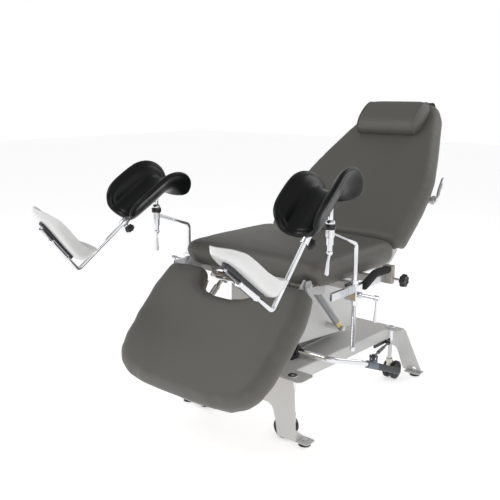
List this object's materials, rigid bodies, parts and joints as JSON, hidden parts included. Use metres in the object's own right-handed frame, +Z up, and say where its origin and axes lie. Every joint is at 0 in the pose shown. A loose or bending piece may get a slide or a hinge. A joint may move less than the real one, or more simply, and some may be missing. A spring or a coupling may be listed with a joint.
{
  "type": "gynaecological examination chair",
  "caption": "Three-section medical examination table with knee crutches, foot shells, side rails, lift column and a folded sheet-metal base.",
  "frame": {"origin": "middle of the overall bounding box at floor level, on the table's symmetry plane to within a few millimetres", "axes": "+Z up, +Y towards the head end, +X towards the table's side with the pedal"},
  "size_m": [0.9224, 1.7624, 1.1045],
  "materials": {
    "painted_sheet": "satin",
    "painted_frame": "satin",
    "chrome": "polished",
    "steel": "satin",
    "dark_metal": "satin",
    "cast_metal": "satin",
    "rail": "satin",
    "plywood": "matte",
    "upholstery": "satin",
    "black_padding": "satin",
    "black_foam": "matte",
    "black_plastic": "satin",
    "strap": "matte",
    "white_plastic": "gloss",
    "cream_plastic": "satin",
    "wheel": "satin",
    "grey_plastic": "satin",
    "grey_rubber": "matte",
    "pad_rubber": "matte",
    "spring_grey": "satin"
  },
  "bodies": {
    "base": {"base_deck": "painted_sheet", "foot_end_plate": "painted_sheet", "head_end_plate": "painted_sheet", "foot_pads": "pad_rubber", "base_fittings": "chrome", "lift_column": "painted_frame", "pump_fittings": "dark_metal"},
    "lift_stage": {"lift_stage": "painted_frame"},
    "lift_head": {"lift_ram": "painted_frame", "lift_shrouds": "painted_sheet"},
    "seat": {"seat_frame": "painted_frame", "seat_board": "plywood", "seat_cushion": "upholstery", "side_rails": "rail", "foot_stop": "chrome", "grip_clamps": "cast_metal", "grip_knobs": "black_plastic"},
    "backrest": {"backrest_frame": "painted_frame", "backrest_board": "plywood", "backrest_cushion": "upholstery", "pillow": "upholstery", "pillow_straps": "strap"},
    "backrest_lever": {"backrest_lever": "chrome"},
    "foot_section": {"foot_frame": "painted_frame", "foot_board": "plywood", "foot_cushion": "upholstery"},
    "tilt_spring_cylinder": {"tilt_spring_cylinder": "spring_grey"},
    "tilt_spring_rod": {"tilt_spring_rod": "steel"},
    "pedal": {"pedal_bar": "chrome", "pedal_socket": "grey_plastic", "pedal_sleeve": "grey_rubber"},
    "pedal_link": {"pedal_link": "dark_metal"},
    "rail_clamp_right": {"rail_clamp_right": "chrome"},
    "clamp_lever_right": {"clamp_lever_right": "chrome"},
    "knee_rod_right": {"knee_rod_right": "chrome"},
    "ball_lever_right": {"ball_lever_right": "chrome"},
    "knee_crutch_right": {"knee_crutch_right": "black_padding"},
    "crutch_knob_right": {"crutch_knob_right": "black_plastic"},
    "foot_rest_right": {"foot_bar_right": "chrome", "foot_shell_right": "white_plastic"},
    "handgrip_right": {"handgrip_right": "black_foam"},
    "rail_clamp_left": {"rail_clamp_left": "chrome"},
    "clamp_lever_left": {"clamp_lever_left": "chrome"},
    "knee_rod_left": {"knee_rod_left": "chrome"},
    "ball_lever_left": {"ball_lever_left": "chrome"},
    "knee_crutch_left": {"knee_crutch_left": "black_padding"},
    "crutch_knob_left": {"crutch_knob_left": "black_plastic"},
    "foot_rest_left": {"foot_bar_left": "chrome", "foot_shell_left": "white_plastic"},
    "handgrip_left": {"handgrip_left": "black_foam"},
    "castor_wheels_foot_right": {"castor_wheels_foot_right": "wheel"},
    "castor_fork_foot_right": {"castor_fork_foot_right": "cream_plastic"},
    "castor_wheels_foot_left": {"castor_wheels_foot_left": "wheel"},
    "castor_fork_foot_left": {"castor_fork_foot_left": "cream_plastic"},
    "castor_wheels_head_right": {"castor_wheels_head_right": "wheel"},
    "castor_fork_head_right": {"castor_fork_head_right": "cream_plastic"},
    "castor_stem_head_right": {"castor_stem_head_right": "steel"},
    "castor_wheels_head_left": {"castor_wheels_head_left": "wheel"},
    "castor_fork_head_left": {"castor_fork_head_left": "cream_plastic"},
    "castor_stem_head_left": {"castor_stem_head_left": "steel"}
  },
  "joints": [
    {"name": "lift_raise", "type": "slide", "parent": "base", "child": "lift_head", "axis": [0, 0, 1], "range_m": [0, 0.24]},
    {"name": "lift_stage_raise", "type": "slide", "parent": "base", "child": "lift_stage", "axis": [0, 0, 1], "range_m": [0, 0.12]},
    {"name": "seat_tilt", "type": "hinge", "parent": "lift_head", "child": "seat", "pos_m": [0, 0.1403, 0.498], "axis": [-1, 0, 0], "range_deg": [0, 12]},
    {"name": "tilt_spring_swing", "type": "hinge", "parent": "lift_head", "child": "tilt_spring_cylinder", "pos_m": [0.2, 0.0053, 0.31], "axis": [-1, 0, 0], "range_deg": [0, 9.75]},
    {"name": "tilt_spring_stroke", "type": "slide", "parent": "tilt_spring_cylinder", "child": "tilt_spring_rod", "axis": [0, -0.6945, 0.7195], "range_m": [0, 0.04706]},
    {"name": "backrest_recline", "type": "hinge", "parent": "seat", "child": "backrest", "pos_m": [0, 0.2403, 0.54], "axis": [1, 0, 0], "range_deg": [-39, 10]},
    {"name": "backrest_release", "type": "hinge", "parent": "backrest", "child": "backrest_lever", "pos_m": [0.304, 0.4958, 0.72502], "axis": [1, 0, 0], "range_deg": [0, 14], "stiffness_Nm_per_rad": 0.6},
    {"name": "foot_section_fold", "type": "hinge", "parent": "seat", "child": "foot_section", "pos_m": [0, -0.2947, 0.54], "axis": [-1, 0, 0], "range_deg": [0, 45]},
    {"name": "pedal_press", "type": "hinge", "parent": "base", "child": "pedal", "pos_m": [0, -0.1497, 0.25], "axis": [-1, 0, 0], "range_deg": [0, 9.5], "stiffness_Nm_per_rad": 60, "springref_deg": -14.32},
    {"name": "pedal_link_swing", "type": "hinge", "parent": "base", "child": "pedal_link", "pos_m": [0.216, 0.3343, 0.166], "axis": [0.9429, 0.333, 0], "range_deg": [0, 5.42]},
    {"name": "rail_clamp_slide_right", "type": "slide", "parent": "seat", "child": "rail_clamp_right", "axis": [0, 1, 0], "range_m": [-0.07, 0.005]},
    {"name": "clamp_lever_turn_right", "type": "hinge", "parent": "rail_clamp_right", "child": "clamp_lever_right", "pos_m": [0.4, -0.1737, 0.506], "axis": [1, 0, 0], "range_deg": [-170, 170]},
    {"name": "knee_rod_height_right", "type": "slide", "parent": "rail_clamp_right", "child": "knee_rod_right", "axis": [0, 0, 1], "range_m": [-0.07, 0.13]},
    {"name": "ball_lever_turn_right", "type": "hinge", "parent": "knee_rod_right", "child": "ball_lever_right", "pos_m": [0.364, -0.3297, 0.758], "axis": [0, 0, 1], "range_deg": [-120, 120]},
    {"name": "knee_crutch_tilt_right", "type": "hinge", "parent": "knee_rod_right", "child": "knee_crutch_right", "pos_m": [0.364, -0.3297, 0.758], "axis": [1, 0, 0], "range_deg": [-15, 15]},
    {"name": "crutch_knob_turn_right", "type": "hinge", "parent": "knee_crutch_right", "child": "crutch_knob_right", "pos_m": [0.364, -0.44887, 0.73011], "axis": [0, 0.7547, -0.6561], "continuous": true},
    {"name": "foot_rest_slide_right", "type": "slide", "parent": "knee_crutch_right", "child": "foot_rest_right", "axis": [0, -0.6561, -0.7547], "range_m": [0, 0.03]},
    {"name": "handgrip_swivel_right", "type": "hinge", "parent": "seat", "child": "handgrip_right", "pos_m": [0.358, 0.0543, 0.545], "axis": [0, -1, 0], "range_deg": [0, 75]},
    {"name": "rail_clamp_slide_left", "type": "slide", "parent": "seat", "child": "rail_clamp_left", "axis": [0, 1, 0], "range_m": [-0.07, 0.005]},
    {"name": "clamp_lever_turn_left", "type": "hinge", "parent": "rail_clamp_left", "child": "clamp_lever_left", "pos_m": [-0.4, -0.1927, 0.506], "axis": [1, 0, 0], "range_deg": [-170, 170]},
    {"name": "knee_rod_height_left", "type": "slide", "parent": "rail_clamp_left", "child": "knee_rod_left", "axis": [0, 0, 1], "range_m": [-0.07, 0.13]},
    {"name": "ball_lever_turn_left", "type": "hinge", "parent": "knee_rod_left", "child": "ball_lever_left", "pos_m": [-0.364, -0.3507, 0.733], "axis": [0, 0, 1], "range_deg": [-120, 120]},
    {"name": "knee_crutch_tilt_left", "type": "hinge", "parent": "knee_rod_left", "child": "knee_crutch_left", "pos_m": [-0.364, -0.3507, 0.733], "axis": [1, 0, 0], "range_deg": [-15, 15]},
    {"name": "crutch_knob_turn_left", "type": "hinge", "parent": "knee_crutch_left", "child": "crutch_knob_left", "pos_m": [-0.37595, -0.48725, 0.69672], "axis": [0, 0.5893, -0.8079], "continuous": true},
    {"name": "foot_rest_slide_left", "type": "slide", "parent": "knee_crutch_left", "child": "foot_rest_left", "axis": [-0.0705, -0.8059, -0.5878], "range_m": [0, 0.03]},
    {"name": "handgrip_swivel_left", "type": "hinge", "parent": "seat", "child": "handgrip_left", "pos_m": [-0.358, 0.0543, 0.545], "axis": [0, 1, 0], "range_deg": [0, 75]},
    {"name": "castor_lower_foot_right", "type": "slide", "parent": "base", "child": "castor_fork_foot_right", "axis": [0, 0, -1], "range_m": [0, 0.012]},
    {"name": "castor_roll_foot_right", "type": "hinge", "parent": "castor_fork_foot_right", "child": "castor_wheels_foot_right", "pos_m": [0.184, -0.2907, 0.039], "axis": [0, 1, 0], "continuous": true},
    {"name": "castor_lower_foot_left", "type": "slide", "parent": "base", "child": "castor_fork_foot_left", "axis": [0, 0, -1], "range_m": [0, 0.012]},
    {"name": "castor_roll_foot_left", "type": "hinge", "parent": "castor_fork_foot_left", "child": "castor_wheels_foot_left", "pos_m": [-0.184, -0.2907, 0.039], "axis": [0, 1, 0], "continuous": true},
    {"name": "castor_lower_head_right", "type": "slide", "parent": "base", "child": "castor_stem_head_right", "axis": [0, 0, -1], "range_m": [0, 0.012]},
    {"name": "castor_swivel_head_right", "type": "hinge", "parent": "castor_stem_head_right", "child": "castor_fork_head_right", "pos_m": [0.208, 0.3623, 0.08], "axis": [0, 0, 1], "continuous": true},
    {"name": "castor_roll_head_right", "type": "hinge", "parent": "castor_fork_head_right", "child": "castor_wheels_head_right", "pos_m": [0.208, 0.3863, 0.039], "axis": [1, 0, 0], "continuous": true},
    {"name": "castor_lower_head_left", "type": "slide", "parent": "base", "child": "castor_stem_head_left", "axis": [0, 0, -1], "range_m": [0, 0.012]},
    {"name": "castor_swivel_head_left", "type": "hinge", "parent": "castor_stem_head_left", "child": "castor_fork_head_left", "pos_m": [-0.208, 0.3623, 0.08], "axis": [0, 0, 1], "continuous": true},
    {"name": "castor_roll_head_left", "type": "hinge", "parent": "castor_fork_head_left", "child": "castor_wheels_head_left", "pos_m": [-0.208, 0.3863, 0.039], "axis": [1, 0, 0], "continuous": true}
  ],
  "couplings": [
    {"joint": "lift_stage_raise", "follows": "lift_raise", "ratio": 0.5},
    {"joint": "tilt_spring_swing", "follows": "seat_tilt", "ratio": 0.81165},
    {"joint": "tilt_spring_stroke", "follows": "seat_tilt", "m_per_rad": 0.22419},
    {"joint": "pedal_link_swing", "follows": "pedal_press", "ratio": 0.569},
    {"joint": "castor_lower_foot_right", "follows": "castor_lower_head_right", "ratio": 1},
    {"joint": "castor_lower_foot_left", "follows": "castor_lower_head_right", "ratio": 1},
    {"joint": "castor_lower_head_left", "follows": "castor_lower_head_right", "ratio": 1}
  ]
}
